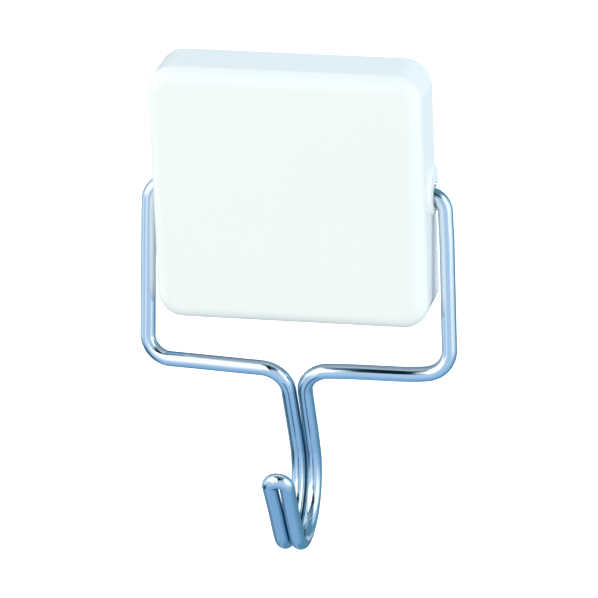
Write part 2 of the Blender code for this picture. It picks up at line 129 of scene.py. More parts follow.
class Graph:
    """A node tree with one way to add a node."""

    def __init__(self, tree: bpy.types.NodeTree) -> None:
        """Wraps a tree and empties it."""
        self.tree = tree
        tree.nodes.clear()

    def node(self, kind: str, settings: dict, inputs: dict, output: int | str = 0) -> Signal | None:
        """Adds a node.

        Args:
            kind: the node's type.
            settings: its properties, set first. "stops" holds a ramp's (position, colour) pairs.
            inputs: values or links by socket name or number.
            output: the output that is returned.

        Returns:
            The chosen output, or None where the node has none.
        """
        made = self.tree.nodes.new(kind)
        for key, value in settings.items():
            if key == "stops":
                self._set_stops(made.color_ramp, value)
            else:
                setattr(made, key, value)
        for key, value in inputs.items():
            if isinstance(value, Signal):
                self.tree.links.new(value.socket, made.inputs[key])
            else:
                made.inputs[key].default_value = value
        return Signal(self, made.outputs[output]) if made.outputs else None

    @staticmethod
    def _set_stops(ramp: bpy.types.ColorRamp, stops: tuple[tuple[float, Colour], ...]) -> None:
        """Gives a colour ramp its stops."""
        while len(ramp.elements) > 1:
            ramp.elements.remove(ramp.elements[-1])
        for index, (position, colour) in enumerate(stops):
            element = ramp.elements[0] if index == 0 else ramp.elements.new(position)
            element.position = position
            element.color = (*colour, 1.0)

    def math(self, operation: str, *values: Signal | float) -> Signal:
        """Adds a Math node.

        Args:
            operation: the node's operation.
            values: its inputs in order.

        Returns:
            The node's value.
        """
        return self.node("ShaderNodeMath", {"operation": operation}, dict(enumerate(values)))

    def place(self) -> Signal:
        """Returns the object's own coordinates, in metres."""
        return self.node("ShaderNodeTexCoord", {}, {}, "Object")

    def noise(self, size: float, detail: float = 2.0, stretch: Triple = (1.0, 1.0, 1.0)) -> Signal:
        """Returns noise from about 0 to 1.

        Args:
            size: the width of its lumps, in metres.
            detail: its finer layers.
            stretch: how much finer it is along X, Y and Z.

        Returns:
            The noise's value.
        """
        where = self.node("ShaderNodeVectorMath", {"operation": "MULTIPLY"}, {0: self.place(), 1: stretch})
        return self.node("ShaderNodeTexNoise", {}, {"Vector": where, "Scale": 1.0 / size, "Detail": detail})

    def cells(self, size: float, output: str) -> Signal:
        """Returns an output of a pattern of cells of a size in metres."""
        inputs = {"Vector": self.place(), "Scale": 1.0 / size}
        return self.node("ShaderNodeTexVoronoi", {}, inputs, output)

    def mix(self, factor: Signal, first: Colour | Signal, second: Colour | Signal,
            blend: str = "MIX") -> Signal:
        """Returns a colour between two, or the first one blended with the second in another way.

        Args:
            factor: how much of the second shows, from 0 to 1.
            first: the colour where the factor is 0.
            second: the other colour.
            blend: the way in which the second is laid over the first.

        Returns:
            The colour.
        """
        shades = [value if isinstance(value, Signal) else (*value, 1.0) for value in (first, second)]
        inputs = {MIX_FACTOR: factor, MIX_FIRST: shades[0], MIX_SECOND: shades[1]}
        return self.node("ShaderNodeMix", {"data_type": "RGBA", "blend_type": blend}, inputs, MIX_RESULT)

    def bump(self, height: Signal, distance: float) -> Signal:
        """Returns the normal of a relief that goes from 0 to 1 over a distance in metres."""
        return self.node("ShaderNodeBump", {}, {"Height": height, "Distance": distance, "Strength": 1.0})


def finish_of(name: str) -> tuple[bpy.types.Material, Graph]:
    """Returns a new material and its empty graph."""
    made = bpy.data.materials.new(name)
    made.use_nodes = True
    return made, Graph(made.node_tree)


def ease(value: float) -> float:
    """Returns a smooth step from 0 to 1 as the value goes from 0 to 1."""
    value = min(max(value, 0.0), 1.0)
    return value * value * (3.0 - 2.0 * value)


def close(graph: Graph, **sockets: Signal | float) -> None:
    """Ends a material's graph in a Principled shader.

    Args:
        graph: the material's graph.
        sockets: the shader's inputs, with _ for a space.
    """
    inputs = {key.replace("_", " "): value for key, value in sockets.items()}
    shader = graph.node("ShaderNodeBsdfPrincipled", {}, inputs)
    graph.node("ShaderNodeOutputMaterial", {}, {"Surface": shader})


@dataclass(frozen=True)
class MouldedGloss:
    """Glossy white plastic out of a polished mould, for the cap. Lengths are in metres."""

    colour: Colour = (0.875, 0.925, 0.905)
    deep: Colour = (0.862, 0.914, 0.897)
    flow: float = 0.018
    ripple: float = 0.00012
    ripple_depth: float = 0.0000003
    roughness: float = 0.24
    haze: float = 0.04
    ior: float = 1.49

    def material(self) -> bpy.types.Material:
        """Returns the finish, with faint flow marks and the ripple that a polished mould leaves."""
        made, graph = finish_of("gloss_white_plastic")
        flow = graph.noise(self.flow, detail=1.0)
        fine = graph.noise(self.ripple)
        close(graph, Base_Color=graph.mix(flow, self.colour, self.deep), IOR=self.ior,
              Roughness=self.roughness + fine * self.haze, Normal=graph.bump(fine, self.ripple_depth))
        return made


@dataclass(frozen=True)
class MouldedMatt:
    """Matt plastic with a spark-eroded mould's fine grain, for the rear frame. Lengths are in metres."""

    colour: Colour = (0.74, 0.78, 0.79)
    deep: Colour = (0.66, 0.70, 0.72)
    cloud: float = 0.006
    grain: float = 0.00022
    grain_depth: float = 0.000014
    roughness: float = 0.50
    haze: float = 0.12
    ior: float = 1.49

    def material(self) -> bpy.types.Material:
        """Returns the finish, with a pebbled grain."""
        made, graph = finish_of("matt_frame_plastic")
        fine = graph.noise(self.grain, detail=3.0)
        broad = graph.noise(self.cloud, detail=1.0)
        close(graph, Base_Color=graph.mix(broad, self.colour, self.deep), IOR=self.ior,
              Roughness=self.roughness + fine * self.haze, Normal=graph.bump(fine, self.grain_depth))
        return made


@dataclass(frozen=True)
class ZincPlating:
    """Zinc-plated steel for the plate and, brighter, for the screws. Lengths are in metres."""

    name: str
    colour: Colour
    pale: Colour
    flake: float
    roughness: float
    along: Triple
    line: float = 0.0004
    line_depth: float = 0.000006
    line_share: float = 0.3
    line_haze: float = 0.14
    flake_haze: float = 0.05

    def material(self) -> bpy.types.Material:
        """Returns the finish, with the plating's flakes over the steel's rolled or turned lines."""
        made, graph = finish_of(self.name)
        shade = graph.node("ShaderNodeSeparateXYZ", {}, {0: graph.cells(self.flake, "Color")})
        lines = graph.noise(self.line, 3.0, self.along)
        share = shade * (1.0 - self.line_share) + lines * self.line_share
        close(graph, Base_Color=graph.mix(share, self.colour, self.pale), Metallic=1.0,
              Roughness=self.roughness + lines * self.line_haze + shade * self.flake_haze,
              Normal=graph.bump(lines, self.line_depth))
        return made


@dataclass(frozen=True)
class SinteredFerrite:
    """Sintered ceramic magnet: dark grey, ground on its faces, with open pores. Lengths are in metres."""

    colour: Colour = (0.032, 0.033, 0.036)
    pale: Colour = (0.085, 0.085, 0.090)
    grit: float = 0.0003
    scratch: float = 0.0005
    scratch_along: Triple = (0.2, 1.0, 6.0)
    pore: float = 0.0005
    pore_edge: Point2 = (0.10, 0.22)
    relief: float = 0.00002
    roughness: float = 0.46
    haze: float = 0.2
    ior: float = 1.9

    def material(self) -> bpy.types.Material:
        """Returns the finish, with grinding marks and pores."""
        made, graph = finish_of("ground_ferrite")
        grit = graph.noise(self.grit, 4.0)
        ground = graph.noise(self.scratch, 2.0, self.scratch_along)
        pores = graph.cells(self.pore, "Distance").ramp(*self.pore_edge)
        close(graph, Base_Color=graph.mix(grit * 0.5 + ground * 0.4, self.colour, self.pale), IOR=self.ior,
              Roughness=self.roughness + grit * self.haze,
              Normal=graph.bump(pores * 0.6 + ground * 0.4, self.relief))
        return made


@dataclass(frozen=True)
class GripRubber:
    """Thin anti-slip rubber with a fine diamond grain. Lengths are in metres."""

    colour: Colour = (0.052, 0.054, 0.058)
    pale: Colour = (0.088, 0.090, 0.095)
    pitch: float = 0.00085
    depth: float = 0.00005
    dust: float = 0.004
    roughness: float = 0.66
    haze: float = 0.16

    def material(self) -> bpy.types.Material:
        """Returns the finish, with crossed ribs and a little dust in the grain."""
        made, graph = finish_of("grip_rubber")
        apart = graph.node("ShaderNodeSeparateXYZ", {}, {0: graph.place()}, "X")
        level = apart.beside("Z")
        turn = 2.0 * math.pi / self.pitch
        rising, falling = (graph.math("SINE", way * turn) for way in (apart + level, apart - level))
        relief = (rising * falling) * 0.5 + 0.5
        dust = graph.noise(self.dust, 4.0)
        close(graph, Base_Color=graph.mix(relief * 0.5 + dust * 0.5, self.colour, self.pale),
              Roughness=self.roughness + dust * self.haze, Normal=graph.bump(relief, self.depth))
        return made


@dataclass(frozen=True)
class BrightChrome:
    """Decorative chrome over nickel on drawn steel wire. Lengths are in metres."""

    colour: Colour = (0.80, 0.875, 0.945)
    deep: Colour = (0.74, 0.825, 0.905)
    cloud: float = 0.005
    speck: float = 0.00025
    speck_edge: Point2 = (0.62, 0.74)
    roughness: float = 0.045
    cloud_haze: float = 0.03
    speck_haze: float = 0.08

    def material(self) -> bpy.types.Material:
        """Returns the finish, with the faint haze and pitting of barrel plating."""
        made, graph = finish_of("bright_chrome")
        cloud = graph.noise(self.cloud)
        specks = graph.noise(self.speck).ramp(*self.speck_edge)
        close(graph, Base_Color=graph.mix(cloud, self.colour, self.deep), Metallic=1.0,
              Roughness=self.roughness + cloud * self.cloud_haze + specks * self.speck_haze)
        return made


def solid_from(bm: bmesh.types.BMesh, name: str, sharp: float = CRISP) -> bpy.types.Object:
    """Turns a bmesh into an object.

    Args:
        bm: the mesh, which is freed.
        name: the object's name.
        sharp: the angle in degrees above which an edge stays crisp.

    Returns:
        The linked object.
    """
    bmesh.ops.recalc_face_normals(bm, faces=bm.faces)
    mesh = bpy.data.meshes.new(name)
    bm.to_mesh(mesh)
    bm.free()
    mesh.shade_smooth()
    mesh.set_sharp_from_angle(angle=math.radians(sharp))
    made = bpy.data.objects.new(name, mesh)
    bpy.context.scene.collection.objects.link(made)
    return made


def skin(loops: list[list[Vector]], name: str) -> bpy.types.Object:
    """Turns loops of points into an object.

    Args:
        loops: rings with as many points each, which quads join in order. A face closes either end.
        name: the object's name.

    Returns:
        The linked object.
    """
    bm = bmesh.new()
    rings = [[bm.verts.new(point) for point in loop] for loop in loops]
    count = len(rings[0])
    for first, second in zip(rings, rings[1:]):
        for i in range(count):
            j = (i + 1) % count
            bm.faces.new((first[i], first[j], second[j], second[i]))
    bm.faces.new(rings[0])
    bm.faces.new(reversed(rings[-1]))
    return solid_from(bm, name)


def carve(target: bpy.types.Object, tools: list[bpy.types.Object]) -> None:
    """Cuts tools out of an object and removes them."""
    for tool in tools:
        modifier = target.modifiers.new(tool.name, "BOOLEAN")
        modifier.operation = "DIFFERENCE"
        modifier.solver = "EXACT"
        modifier.object = tool
    depsgraph = bpy.context.evaluated_depsgraph_get()
    mesh = bpy.data.meshes.new_from_object(target.evaluated_get(depsgraph))
    target.modifiers.clear()
    target.data = mesh
    for tool in tools:
        bpy.data.objects.remove(tool, do_unlink=True)


def dress(piece: bpy.types.Object, finish: bpy.types.Material) -> None:
    """Gives a piece one finish."""
    if not piece.material_slots:
        piece.data.materials.append(finish)
    for slot in piece.material_slots:
        slot.material = finish


def report(piece: bpy.types.Object) -> None:
    """Logs a piece's name, faces and size in millimetres."""
    size = " x ".join(f"{1000 * side:.1f}" for side in piece.dimensions)
    LOG.info("%s: %d faces, %s mm", piece.name, len(piece.data.polygons), size)


@dataclass(frozen=True)
class Lamp:
    """A soft square lamp that points at the object, and that neither the camera nor gloss sees.

    Its turn is in degrees round from the front to the right, its height in degrees above the object, its
    side and distance are in metres and its power is in watts.
    """

    name: str
    turn: float
    height: float
    side: float
    power: float
    colour: Colour
    distance: float = 1.4

    def add(self, target: Vector) -> None:
        """Adds the lamp, pointed at a target."""
        light = bpy.data.lights.new(self.name, "AREA")
        light.size = self.side
        light.energy = self.power
        light.color = self.colour
        lamp = bpy.data.objects.new(self.name, light)
        turn, height = math.radians(self.turn), math.radians(self.height)
        level = math.cos(height)
        heading = Vector((math.sin(turn) * level, -math.cos(turn) * level, math.sin(height)))
        lamp.location = target + heading * self.distance
        lamp.rotation_euler = heading.to_track_quat("Z", "Y").to_euler()
        lamp.visible_camera = False
        lamp.visible_glossy = False
        bpy.context.scene.collection.objects.link(lamp)


@dataclass(frozen=True)
class Panel:
    """A soft-edged panel of the tent that the chrome reflects.

    Its edges are in degrees: round from the camera to the right, and up from the horizon. Each has four,
    where the panel starts to show, is full, is full for the last time and has gone.
    """

    colour: Colour
    turns: Edges = (*FROM_SEAM, *TO_SEAM)
    heights: Edges = (*FROM_BOTTOM, *TO_TOP)

    def over(self, graph: Graph, below: Signal, turn: Signal, height: Signal) -> Signal:
        """Paints the panel over what is there.

        Args:
            graph: the tent's graph.
            below: the colour so far.
            turn: the direction round, in degrees.
            height: the direction up, in degrees.

        Returns:
            The new colour.
        """
        across = turn.ramp(*self.turns[:2]) - turn.ramp(*self.turns[2:])
        upward = height.ramp(*self.heights[:2]) - height.ramp(*self.heights[2:])
        return graph.mix(across * upward, below, self.colour)


@dataclass
class Studio:
    """The camera, the lamps, the floor and the tent of panels that the chrome reflects.

    The camera's angles are in radians, its focal length and the picture's side in pixels, and lengths in
    metres but for the sensor's, which is in millimetres. The sky's and the ground's edges are heights of a
    direction of length 1. The crease shades are painted shade: tints that darken the light that the chrome
    mirrors more than once, as in the creases between the wires. The bounce shade is painted shade too: the
    share of the tent's light left after a matt surface, which dims the light that the chrome and gloss
    throw from the tent onto matt surfaces, and so paints the wire's shadow on the cap's side.
    """

    azimuth: float = 0.2415
    elevation: float = 0.3958
    roll: float = 0.0423
    focal_pixels: float = 7102.4748
    picture: int = 598
    sensor: float = 36.0
    target: Vector = field(default_factory=lambda: Vector((0.0, -0.0063, 0.0)))
    offset: Vector = field(default_factory=lambda: Vector((-0.001074, -0.019592, 1.2741616)))
    lamps: tuple[Lamp, ...] = (
        Lamp("right_lamp", turn=84.0, height=10.0, side=0.7, power=5.7, colour=(0.95, 0.96, 1.0)),
        Lamp("left_lamp", turn=-76.0, height=22.0, side=1.3, power=8.2, colour=(1.0, 0.82, 0.72)),
        Lamp("low_lamp", turn=0.0, height=-20.0, side=0.9, power=1.6, colour=(1.0, 0.80, 0.40)),
        Lamp("back_lamp", turn=180.0, height=-16.0, side=1.0, power=12.0, colour=WHITE),
    )
    sky: Colour = (0.885, 0.933, 0.933)
    zenith: Colour = (0.80, 0.91, 1.04)
    zenith_edge: Point2 = (0.3, 0.9)
    ground: Colour = (0.02, 0.06, 0.24)
    ground_up: float = 0.78
    ground_back: float = -0.62
    ground_edge: Point2 = (-0.66, -0.50)
    floor_level: float = -0.40
    floor_size: float = 3.0
    floor_colour: Colour = (0.82, 0.83, 0.84)
    floor_glow: float = 0.62
    tent_radius: float = 0.38
    tent_segments: int = 48
    backdrop: tuple[tuple[float, Colour], ...] = (
        (0.03, (0.23, 0.43, 0.67)), (0.14, (0.25, 0.46, 0.71)), (0.25, (0.375, 0.585, 0.82)),
        (0.36, (0.47, 0.65, 0.87)), (0.46, (0.50, 0.67, 0.87)), (0.56, (0.55, 0.73, 0.94)))
    # Painted shade: the share of the tent's light left after a matt surface, which darkens the cap beside
    # the wire.
    bounce_shade: float = 0.15
    # Painted shade: tints that darken light mirrored twice or more, as in the creases between the wires.
    crease_shades: tuple[Colour, ...] = ((0.58, 0.70, 0.74), (0.30, 0.42, 0.48), (0.50, 0.60, 0.65))

    def axes(self) -> tuple[Vector, Vector, Vector]:
        """Returns the camera's right, down and forward directions."""
        flat, rise = math.cos(self.elevation), math.sin(self.elevation)
        forward = -Vector((math.sin(self.azimuth) * flat, -math.cos(self.azimuth) * flat, rise))
        level = forward.cross(Vector((0.0, 0.0, 1.0))).normalized()
        down = forward.cross(level)
        turn, slip = math.cos(self.roll), math.sin(self.roll)
        return level * turn + down * slip, down * turn - level * slip, forward

    def add_camera(self) -> None:
        """Places the camera where the photograph was taken from."""
        right, down, forward = self.axes()
        place = self.target - right * self.offset.x - down * self.offset.y - forward * self.offset.z
        camera = bpy.data.cameras.new("camera")
        camera.sensor_width = self.sensor
        camera.lens = camera.sensor_width * self.focal_pixels / self.picture
        holder = bpy.data.objects.new("camera", camera)
        facing = Matrix((right, -down, -forward)).transposed().to_4x4()
        holder.matrix_world = Matrix.Translation(place) @ facing
        bpy.context.scene.collection.objects.link(holder)
        bpy.context.scene.camera = holder

    @staticmethod
    def seen(graph: Graph) -> Signal:
        """Returns 1 for rays that see the background: from the camera, off gloss and through glass."""
        camera = graph.node("ShaderNodeLightPath", {}, {}, "Is Camera Ray")
        others = camera.beside("Is Glossy Ray"), camera.beside("Is Transmission Ray")
        return graph.math("MINIMUM", camera + others[0] + others[1], 1.0)

    def first_hand(self, graph: Graph) -> Signal:
        """Returns 1 for rays that have left no matt surface yet, and little for those that have.
        This is painted shade: it dims the tent's light that the chrome throws onto matt surfaces, such as
        the cap's side under the wire.
        """
        depth = graph.node("ShaderNodeLightPath", {}, {}, "Diffuse Depth")
        later = graph.math("MINIMUM", depth, 1.0)
        return 1.0 - later * (1.0 - self.bounce_shade)

    def painted_crease_shade(self, graph: Graph, colour: Signal) -> Signal:
        """Returns a colour with painted shade: it darkens with each mirroring after the first, as in the
        creases between two wires.
        """
        depth = graph.node("ShaderNodeLightPath", {}, {}, "Glossy Depth")
        for mirrored, tint in enumerate(self.crease_shades, start=1):
            more = graph.math("MINIMUM", graph.math("MAXIMUM", depth - mirrored, 0.0), 1.0)
            colour = graph.mix(more, colour, tint, "MULTIPLY")
        return colour

    def add_world(self) -> None:
        """Lights the object softly but for what comes from behind and below, and shows white behind it."""
        world = bpy.data.worlds.new("world")
        bpy.context.scene.world = world
        world.use_nodes = True
        graph = Graph(world.node_tree)
        heading = graph.node("ShaderNodeTexCoord", {}, {}, "Generated")
        up = graph.node("ShaderNodeSeparateXYZ", {}, {0: heading}, "Z")
        above = graph.mix(up.ramp(*self.zenith_edge), self.sky, self.zenith)
        front = up * self.ground_up + up.beside("Y") * self.ground_back
        light = graph.mix(front.ramp(*self.ground_edge), self.ground, above)
        colour = graph.mix(self.seen(graph), light, WHITE)
        shader = graph.node("ShaderNodeBackground", {}, {"Color": colour, "Strength": 1.0})
        graph.node("ShaderNodeOutputWorld", {}, {"Surface": shader})

    def add_floor(self) -> None:
        """Adds a pale floor that shows white and keeps the object's shadow."""
        bm = bmesh.new()
        bmesh.ops.create_grid(bm, x_segments=1, y_segments=1, size=self.floor_size / 2)
        floor = solid_from(bm, "floor")
        floor.location = (0.0, 0.0, self.floor_level)
        made, graph = finish_of("pale_floor")
        paper = graph.node("ShaderNodeBsdfDiffuse", {}, {"Color": (*self.floor_colour, 1.0)})
        glow_inputs = {"Color": (*WHITE, 1.0), "Strength": self.seen(graph) * self.floor_glow}
        glow = graph.node("ShaderNodeEmission", {}, glow_inputs)
        both = graph.node("ShaderNodeAddShader", {}, {0: paper, 1: glow})
        graph.node("ShaderNodeOutputMaterial", {}, {"Surface": both})
        dress(floor, made)
        floor.visible_diffuse = False

    @staticmethod
    def panels() -> list[Panel]:
        """Returns the tent's panels in the order in which they are painted."""
        rear_left, rear_edge = (*FROM_SEAM, -155.0, -140.0), (-70.0, -40.0, 30.0, 50.0)
        return [
            # The blue side from the right to the rear, and the grey, pale and dark ones at the left rear.
            Panel((0.11, 0.29, 0.43), (35.0, 118.0, *TO_SEAM)),
            Panel((0.46, 0.57, 0.62), (*FROM_SEAM, -118.0, -98.0), (-28.0, -18.0, 12.0, 22.0)),
            Panel((0.62, 0.87, 0.97), (-150.0, -135.0, -110.0, -98.0), (10.0, 22.0, 55.0, 65.0)),
            Panel((0.21, 0.41, 0.60), rear_left, (5.0, 15.0, *TO_TOP)),
            Panel((0.15, 0.29, 0.40), (-160.0, -145.0, -78.0, -60.0), (-58.0, -50.0, -30.0, -20.0)),
            Panel((0.15, 0.29, 0.41), (-165.0, -150.0, -107.0, -92.0), (-76.0, -67.0, -52.0, -46.0)),
            Panel((0.02, 0.07, 0.12), (-116.0, -106.0, -88.0, -76.0), (-53.0, -48.0, -36.0, -28.0)),
            # The bright windows at the front left, the left and the right, and their blue and grey edges.
            Panel((1.10, 1.14, 1.20), (-53.0, -42.0, -38.0, -26.0), (-38.0, 10.0, 20.0, 30.0)),
            Panel((0.66, 0.86, 1.02), (-112.0, -104.0, -84.0, -76.0), (-22.0, -17.0, -3.0, 8.0)),
            Panel((1.28, 1.28, 1.28), (-105.0, -90.0, -14.0, -12.4), (-8.0, 10.0, 56.0, 64.0)),
            Panel((1.20, 1.28, 1.28), (25.0, 40.0, 84.0, 104.0), (-34.0, 5.0, 42.0, 47.0)),
            Panel((0.46, 0.70, 0.95), (84.0, 92.0, 104.0, 120.0), (-8.0, 4.0, 30.0, 44.0)),
            Panel((0.48, 0.62, 0.74), (-13.4, -12.4, 20.0, 36.0), (2.0, 10.0, 50.0, 56.0)),
            # The dark top, and the black slits that come down from it in front.
            Panel((0.12, 0.23, 0.30), (-38.0, -30.0, *TO_SEAM), (50.0, 55.0, *TO_TOP)),
            Panel((0.12, 0.23, 0.30), heights=(59.0, 66.0, *TO_TOP)),
            Panel((0.05, 0.10, 0.16), (-10.0, 0.0, 38.0, 50.0), (30.0, 39.0, 50.0, 56.0)),
            Panel((0.0, 0.012, 0.020), (-19.0, -16.0, -6.0, 10.0), (40.0, 43.0, 54.0, 57.0)),
            Panel((0.0, 0.012, 0.020), (-14.2, -13.2, 8.0, 28.0), (28.0, 37.0, 64.0, 72.0)),
            Panel((0.0, 0.012, 0.020), (-12.6, -11.6, -7.0, -3.0), (11.0, 18.0, 40.0, 46.0)),
            # The dark rear, and the paler part of it that the cap's right side mirrors.
            Panel((0.12, 0.26, 0.36), (118.0, 150.0, *TO_SEAM), rear_edge),
            Panel((0.10, 0.20, 0.30), (*FROM_SEAM, -160.0, -138.0), rear_edge),
            Panel((0.44, 0.60, 0.76), (124.0, 138.0, *TO_SEAM), (-29.0, -24.0, -10.0, 0.0)),
        ]

    def add_tent(self) -> None:
        """Adds the tent of white, blue and dark panels round the object, which only gloss sees."""
        bm = bmesh.new()
        bmesh.ops.create_uvsphere(bm, u_segments=self.tent_segments, v_segments=self.tent_segments // 2,
                                  radius=self.tent_radius)
        tent = solid_from(bm, "studio_tent", ALL_SOFT)
        tent.rotation_euler = (0.0, 0.0, self.azimuth)
        made, graph = finish_of("tent_panels")
        heading = graph.node("ShaderNodeVectorMath", {"operation": "NORMALIZE"}, {0: graph.place()})
        right = graph.node("ShaderNodeSeparateXYZ", {}, {0: heading}, "X")
        back, up = right.beside("Y"), right.beside("Z")
        turn = graph.math("ARCTAN2", right, 0.0 - back) * math.degrees(1.0)
        height = graph.math("ARCSINE", up) * math.degrees(1.0)
        share = height * (1.0 / 180.0) + 0.5
        colour = graph.node("ShaderNodeValToRGB", {"stops": self.backdrop}, {0: share})
        for panel in self.panels():
            colour = panel.over(graph, colour, turn, height)
        # Painted shade: the tent's light darkens in the creases and after a matt surface.
        inputs = {"Color": self.painted_crease_shade(graph, colour), "Strength": self.first_hand(graph)}
        shader = graph.node("ShaderNodeEmission", {}, inputs)
        graph.node("ShaderNodeOutputMaterial", {}, {"Surface": shader})
        dress(tent, made)
        tent.visible_camera = False
        tent.visible_diffuse = False
        tent.visible_transmission = False
        tent.visible_shadow = False

    def build(self) -> None:
        """Makes the camera first, and then the light and what stands round the object."""
        self.add_camera()
        self.add_world()
        for lamp in self.lamps:
            lamp.add(self.target)
        self.add_floor()
        self.add_tent()
        bpy.context.scene.view_settings.view_transform = "Standard"


@dataclass
class FrontCap:
    """The moulded cap: a soft-cornered square shell with a boss round each pivot.

    Lengths are in metres. The spots are where the outline's straight runs have points, as shares of half a
    run. The leads are the narrow strips that keep the flat walls and the front flat beside the fillet.
    """

    corner: float = 0.0048
    fillet: float = 0.0028
    rim_chamfer: float = 0.0003
    side_wall: float = 0.0016
    front_wall: float = 0.0018
    boss_radius: float = 0.0047
    boss_rise: float = 0.0009
    boss_proud: float = 0.0005
    boss_round: float = 0.0006
    boss_pitch: float = 0.00016
    bore_radius: float = 0.00155
    bore_start: float = 0.0240
    bore_sides: int = 48
    mouth_radius: float = 0.00236
    corner_steps: int = 16
    fillet_steps: int = 14
    wall_lead: float = 0.0002
    front_lead: float = 0.0003
    side_spots: Point2 = (0.6, 0.98)
    top_spots: tuple[float, ...] = (0.98, 0.5, 0.0, -0.5, -0.98)

    def __post_init__(self) -> None:
        """Takes the outer sizes from the solid that the cap stands for."""
        low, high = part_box("front_cap")
        self.half_x = high.x - self.boss_proud
        self.half_z = high.z
        self.front = low.y
        self.rear = high.y

    def side_places(self) -> list[float]:
        """Returns the heights of the outline's points on a straight side, close together at the boss."""
        straight = self.half_z - self.corner
        reach = self.boss_radius + 2 * self.boss_pitch
        count = round(2 * reach / self.boss_pitch)
        lowest = PIVOT.z + self.boss_rise - reach
        fine = [lowest + 2 * reach * i / count for i in range(count + 1)]
        near, far = (straight * spot for spot in self.side_spots)
        return [-far, -near, *fine, near, far]

    def outline(self, inset: float) -> list[Point2]:
        """Returns the cap's outline as (x, z) points, drawn in by a distance."""
        half_x, half_z, radius = self.half_x - inset, self.half_z - inset, self.corner - inset
        sides = self.side_places()
        across = self.top_spots
        points: list[Point2] = []
        for quarter, (sx, sz) in enumerate(((1, 1), (-1, 1), (-1, -1), (1, -1))):
            for step in range(self.corner_steps + 1):
                angle = math.pi / 2 * (quarter + step / self.corner_steps)
                x = sx * (half_x - radius) + radius * math.cos(angle)
                z = sz * (half_z - radius) + radius * math.sin(angle)
                points.append((x, z))
            if quarter == 0:
                points += [(t * (half_x - radius), half_z) for t in across]
            elif quarter == 1:
                points += [(-half_x, z) for z in reversed(sides)]
            elif quarter == 2:
                points += [(-t * (half_x - radius), -half_z) for t in across]
            else:
                points += [(half_x, z) for z in sides]
        return points

    def boss_height(self, y: float, z: float) -> float:
        """Returns how far the boss stands out of the side wall at a point."""
        away = math.hypot(y - PIVOT.y, z - PIVOT.z - self.boss_rise)
        share = min(max((away - self.boss_radius + self.boss_round) / self.boss_round, 0.0), 1.0)
        return self.boss_proud * 0.5 * (1 + math.cos(math.pi * share))

    def ring(self, inset: float, y: float, bosses: bool = True) -> list[Vector]:
        """Returns one ring of the skin.

        Args:
            inset: how far it is drawn in from the outline.
            y: its level along Y.
            bosses: whether the bosses push it out.

        Returns:
            The ring's points.
        """
        points = []
        for x, z in self.outline(inset):
            if bosses and abs(abs(x) - (self.half_x - inset)) < ON_WALL:
                x += math.copysign(self.boss_height(y, z), x)
            points.append(Vector((x, y, z)))
        return points

    def levels(self) -> list[float]:
        """Returns the levels of the wall's rings, from the rim to the start of the front fillet."""
        start = self.rear - self.rim_chamfer
        last = PIVOT.y - self.boss_radius - self.boss_pitch
        count = round((start - last) / self.boss_pitch)
        fine = [start + (last - start) * i / count for i in range(count + 1)]
        return [*fine, self.front + self.fillet + self.wall_lead]

    def shell(self) -> bpy.types.Object:
        """Returns the plain shell, with its rim and pocket."""
        pocket = self.outline(self.side_wall)
        floor = self.front + self.front_wall
        loops = [[Vector((x, y, z)) for x, z in pocket] for y in (floor, self.rear)]
        loops.append(self.ring(self.rim_chamfer, self.rear))
        loops += [self.ring(0.0, y) for y in self.levels()]
        for step in range(self.fillet_steps + 1):
            angle = math.pi / 2 * step / self.fillet_steps
            inset = self.fillet * (1 - math.cos(angle))
            loops.append(self.ring(inset, self.front + self.fillet * (1 - math.sin(angle)), False))
        loops.append(self.ring(self.fillet + self.front_lead, self.front, False))
        return skin(loops, "cap_shell")

    def cut_span(self) -> Point2:
        """Returns where the cutting tools start and end along X, past both faces of a side wall."""
        return self.half_x - self.side_wall - OVERRUN, self.half_x + self.boss_proud + OVERRUN

    def bore_tool(self, side: int) -> bpy.types.Object:
        """Returns the tool that cuts a pivot's flared bore, on the left (-1) or right (1)."""
        face = self.half_x + self.boss_proud
        inner, outer = self.cut_span()
        slope = (self.mouth_radius - self.bore_radius) / (face - self.bore_start)
        profile = ((inner, self.bore_radius), (self.bore_start, self.bore_radius),
                   (outer, self.bore_radius + slope * (outer - self.bore_start)))
        angles = [2 * math.pi * (i + 0.5) / self.bore_sides for i in range(self.bore_sides)]
        loops = [[Vector((side * x, PIVOT.y + radius * math.cos(angle), PIVOT.z + radius * math.sin(angle)))
                  for angle in angles] for x, radius in profile]
        return skin(loops, f"bore_tool_{'right' if side > 0 else 'left'}")

    def slot_tool(self, side: int) -> bpy.types.Object:
        """Returns the tool that cuts the slot from a bore to the rim, on the left (-1) or right (1)."""
        left, right = sorted(side * x for x in self.cut_span())
        low, high = PIVOT.z - self.bore_radius, PIVOT.z + self.bore_radius
        corners = ((left, low), (right, low), (right, high), (left, high))
        loops = [[Vector((x, y, z)) for x, z in corners] for y in (PIVOT.y, self.rear + OVERRUN)]
        return skin(loops, f"slot_tool_{'right' if side > 0 else 'left'}")

    def build(self, finish: MouldedGloss) -> None:
        """Makes the cap, dresses it and lets it stand for its solid."""
        cap = self.shell()
        carve(cap, [tool for side in (-1, 1) for tool in (self.bore_tool(side), self.slot_tool(side))])
        cap.data.set_sharp_from_angle(angle=math.radians(CRISP))
        dress(cap, finish.material())
        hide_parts("front_cap")
        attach(cap, Body.HOUSING.value)
        report(cap)


